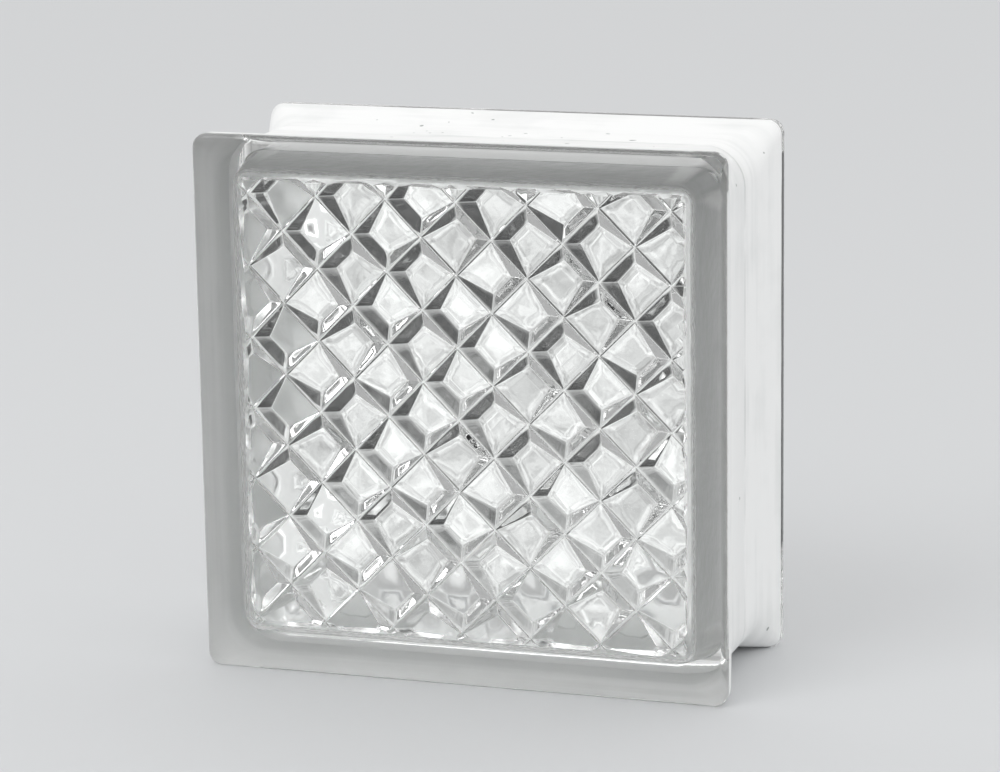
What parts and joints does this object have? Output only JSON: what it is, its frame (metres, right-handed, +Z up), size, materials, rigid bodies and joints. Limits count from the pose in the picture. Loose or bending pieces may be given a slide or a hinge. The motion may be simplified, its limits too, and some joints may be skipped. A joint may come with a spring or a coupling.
{
  "type": "glass block",
  "caption": "Square hollow glass block: two pressed glass halves fused at mid depth, with a diamond lattice on the inside of the front face and a mortar channel round the edge.",
  "frame": {"origin": "centre of the block's footprint on the floor, at the bottom of the rim flanges", "axes": "+Z up, front face towards -Y, block depth along Y, width along X"},
  "size_m": [0.19, 0.08, 0.19],
  "materials": {
    "front_glass": "clear pressed glass, polished outside, with white edge coating in the mortar channel",
    "rear_glass": "clear pressed glass, polished outside, with white edge coating in the mortar channel"
  },
  "bodies": {
    "root": {"front_half": "front_glass", "rear_half": "rear_glass"}
  },
  "joints": []
}
